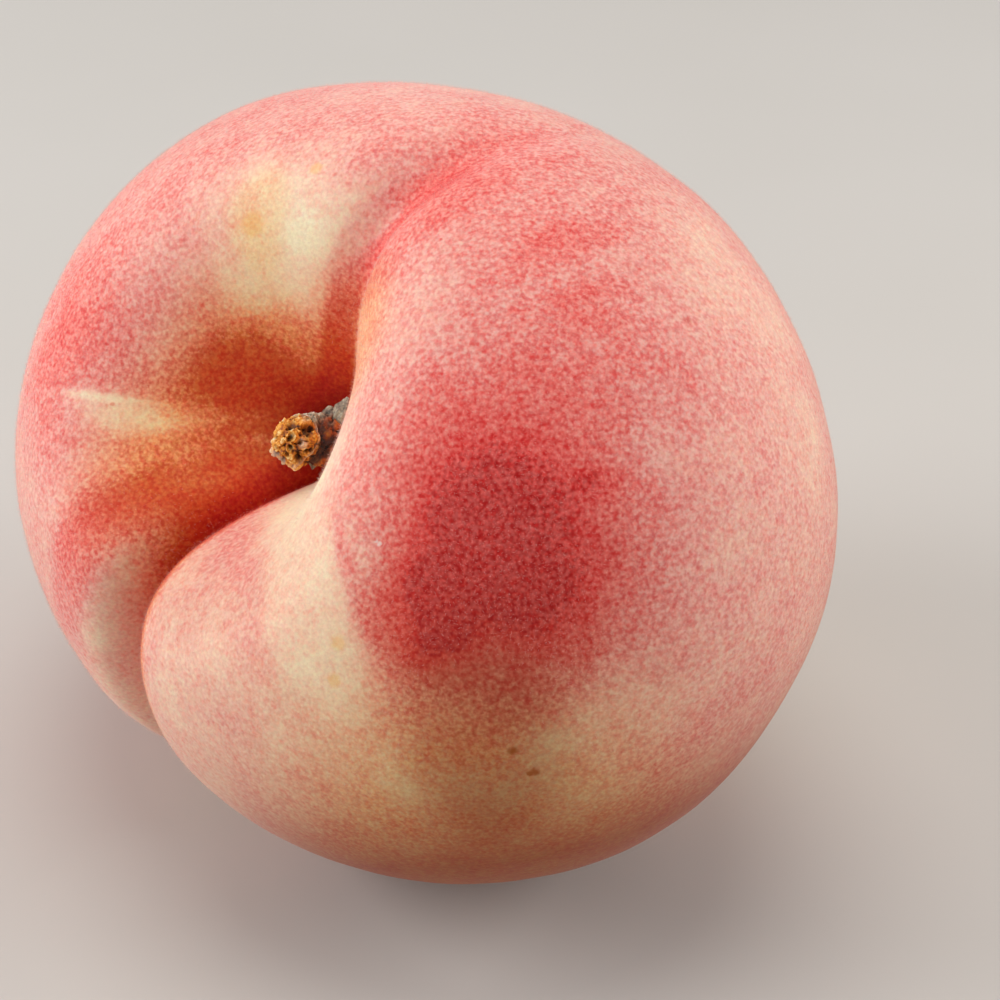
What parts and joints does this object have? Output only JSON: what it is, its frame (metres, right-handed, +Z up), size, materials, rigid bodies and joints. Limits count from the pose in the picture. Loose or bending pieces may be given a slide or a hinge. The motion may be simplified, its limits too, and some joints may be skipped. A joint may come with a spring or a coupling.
{
  "type": "peach",
  "caption": "Whole ripe white peach lying on its side, with a deep suture and a corky stem in its cavity.",
  "frame": {"origin": "middle of the small flat spot that the fruit rests on", "axes": "+Z up from the surface; the front lobe faces -Y, and the stem cavity opens towards -X, -Y and up"},
  "size_m": [0.0816, 0.0884, 0.0741],
  "materials": {
    "skin": null,
    "stem": "dry corky wood, rough, golden brown with dark cracks and grey bark"
  },
  "bodies": {
    "root": {"fruit": "skin", "stem": "stem"}
  },
  "joints": []
}
